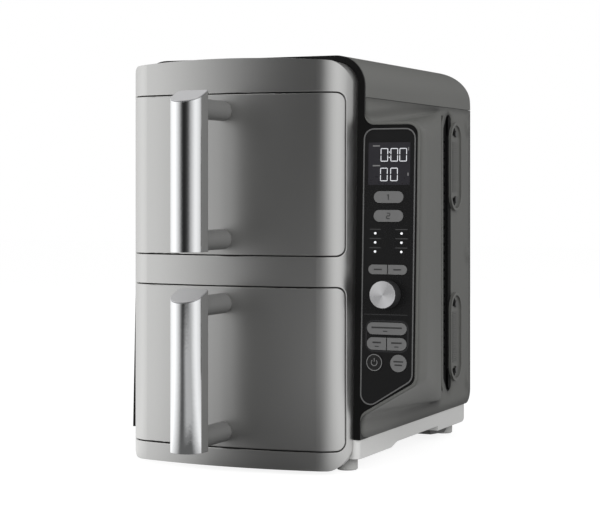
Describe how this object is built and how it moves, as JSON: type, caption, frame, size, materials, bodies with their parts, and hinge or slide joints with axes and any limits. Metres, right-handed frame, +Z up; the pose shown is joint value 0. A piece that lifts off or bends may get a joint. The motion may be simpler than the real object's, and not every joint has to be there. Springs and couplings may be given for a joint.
{
  "type": "air fryer",
  "caption": "Air fryer with stacked pull-out drawers, a bowed silver front, upright bar handles, and a control pod with a display, push buttons and a knob on its right side.",
  "frame": {"origin": "on the worktop, under the middle of the air fryer's box with the drawers shut", "axes": "+X to the right seen from the front, +Y to the back so the drawers face -Y, +Z up"},
  "size_m": [0.2958, 0.473, 0.3892],
  "materials": {
    "silver_shell": "satin silver metallic paint",
    "black_shell": "satin black",
    "grey_shell": "matte warm dark grey",
    "pale_shell": "satin pale silver grey",
    "black_plastic": "matte black",
    "rubber": "matte black",
    "screw_steel": "bright zinc",
    "black_panel": "gloss black",
    "silver_trim": "satin silver",
    "display": "dark display window",
    "circuit_board": "green board",
    "indicator": "clear lens",
    "encoder_metal": "zinc",
    "spun_aluminium": "spun",
    "probe_steel": "satin",
    "button_grey": "matte grey",
    "button_black": "satin black",
    "cavity_metal": "satin bare metal",
    "heater_steel": "dark heated steel",
    "motor_steel": "zinc",
    "nonstick": "black non-stick coat",
    "chrome_bar": "polished",
    "handle_grey": "satin dark grey"
  },
  "bodies": {
    "main_unit": {"front_bezel": "silver_shell", "console_frame": "black_shell", "top_cover": "grey_shell", "left_side_cover": "grey_shell", "right_side_cover": "grey_shell", "rear_cover": "grey_shell", "base_tray": "pale_shell", "feet": "rubber", "intake_grille": "black_plastic", "side_spacers": "grey_shell", "spacer_screws": "screw_steel", "cover_screws": "screw_steel", "mains_inlet": "black_plastic", "control_glass": "black_panel", "control_trim": "silver_trim", "display_module": "display", "control_board": "circuit_board", "button_switches": "black_plastic", "indicator_lights": "indicator", "knob_encoder": "encoder_metal", "power_board": "circuit_board", "drawer_switches": "black_plastic", "temperature_sensors": "probe_steel", "lower_cavity_liner": "cavity_metal", "lower_heater": "heater_steel", "lower_fan_guard": "cavity_metal", "lower_fan_motor": "motor_steel", "upper_cavity_liner": "cavity_metal", "upper_heater": "heater_steel", "upper_fan_guard": "cavity_metal", "upper_fan_motor": "motor_steel"},
    "lower_drawer": {"lower_drawer_front": "silver_shell", "lower_drawer_backplate": "black_plastic", "lower_drawer_seal": "rubber", "lower_drawer_pan": "nonstick", "lower_crisper_plate": "nonstick", "lower_handle_bar": "chrome_bar", "lower_handle_grip": "handle_grey", "lower_handle_screws": "screw_steel"},
    "upper_drawer": {"upper_drawer_front": "silver_shell", "upper_drawer_backplate": "black_plastic", "upper_drawer_seal": "rubber", "upper_drawer_pan": "nonstick", "upper_crisper_plate": "nonstick", "upper_handle_bar": "chrome_bar", "upper_handle_grip": "handle_grey", "upper_handle_screws": "screw_steel"},
    "knob": {"control_knob": "spun_aluminium"},
    "lower_fan_wheel": {"lower_fan": "cavity_metal"},
    "upper_fan_wheel": {"upper_fan": "cavity_metal"},
    "zone_one_key": {"zone_one_button": "button_grey"},
    "zone_two_key": {"zone_two_button": "button_grey"},
    "temperature_key": {"temperature_button": "button_grey"},
    "time_key": {"time_button": "button_grey"},
    "both_zones_key": {"both_zones_button": "button_grey"},
    "sync_key": {"sync_button": "button_grey"},
    "match_key": {"match_button": "button_grey"},
    "power_key": {"power_button": "button_black"},
    "start_key": {"start_button": "button_grey"}
  },
  "joints": [
    {"name": "lower_drawer_slide", "type": "slide", "parent": "main_unit", "child": "lower_drawer", "axis": [0, -1, 0], "range_m": [0, 0.18]},
    {"name": "upper_drawer_slide", "type": "slide", "parent": "main_unit", "child": "upper_drawer", "axis": [0, -1, 0], "range_m": [0, 0.18]},
    {"name": "knob_turn", "type": "hinge", "parent": "main_unit", "child": "knob", "pos_m": [0.1177, -0.10853, 0.16602], "axis": [0, -0.9993, 0.0384], "continuous": true},
    {"name": "lower_fan_spin", "type": "hinge", "parent": "main_unit", "child": "lower_fan_wheel", "pos_m": [-0.0279, 0.1285, 0.0972], "axis": [0, 1, 0], "continuous": true},
    {"name": "upper_fan_spin", "type": "hinge", "parent": "main_unit", "child": "upper_fan_wheel", "pos_m": [-0.0279, 0.1285, 0.277], "axis": [0, 1, 0], "continuous": true},
    {"name": "zone_one_press", "type": "slide", "parent": "main_unit", "child": "zone_one_key", "axis": [0, 0.9993, -0.0384], "range_m": [0, 0.001], "stiffness_N_per_m": 800},
    {"name": "zone_two_press", "type": "slide", "parent": "main_unit", "child": "zone_two_key", "axis": [0, 0.9993, -0.0384], "range_m": [0, 0.001], "stiffness_N_per_m": 800},
    {"name": "temperature_press", "type": "slide", "parent": "main_unit", "child": "temperature_key", "axis": [0, 0.9993, -0.0384], "range_m": [0, 0.001], "stiffness_N_per_m": 800},
    {"name": "time_press", "type": "slide", "parent": "main_unit", "child": "time_key", "axis": [0, 0.9993, -0.0384], "range_m": [0, 0.001], "stiffness_N_per_m": 800},
    {"name": "both_zones_press", "type": "slide", "parent": "main_unit", "child": "both_zones_key", "axis": [0, 0.9993, -0.0384], "range_m": [0, 0.001], "stiffness_N_per_m": 800},
    {"name": "sync_press", "type": "slide", "parent": "main_unit", "child": "sync_key", "axis": [0, 0.9993, -0.0384], "range_m": [0, 0.001], "stiffness_N_per_m": 800},
    {"name": "match_press", "type": "slide", "parent": "main_unit", "child": "match_key", "axis": [0, 0.9993, -0.0384], "range_m": [0, 0.001], "stiffness_N_per_m": 800},
    {"name": "power_press", "type": "slide", "parent": "main_unit", "child": "power_key", "axis": [0, 0.9993, -0.0384], "range_m": [0, 0.001], "stiffness_N_per_m": 800},
    {"name": "start_press", "type": "slide", "parent": "main_unit", "child": "start_key", "axis": [0, 0.9993, -0.0384], "range_m": [0, 0.001], "stiffness_N_per_m": 800}
  ]
}
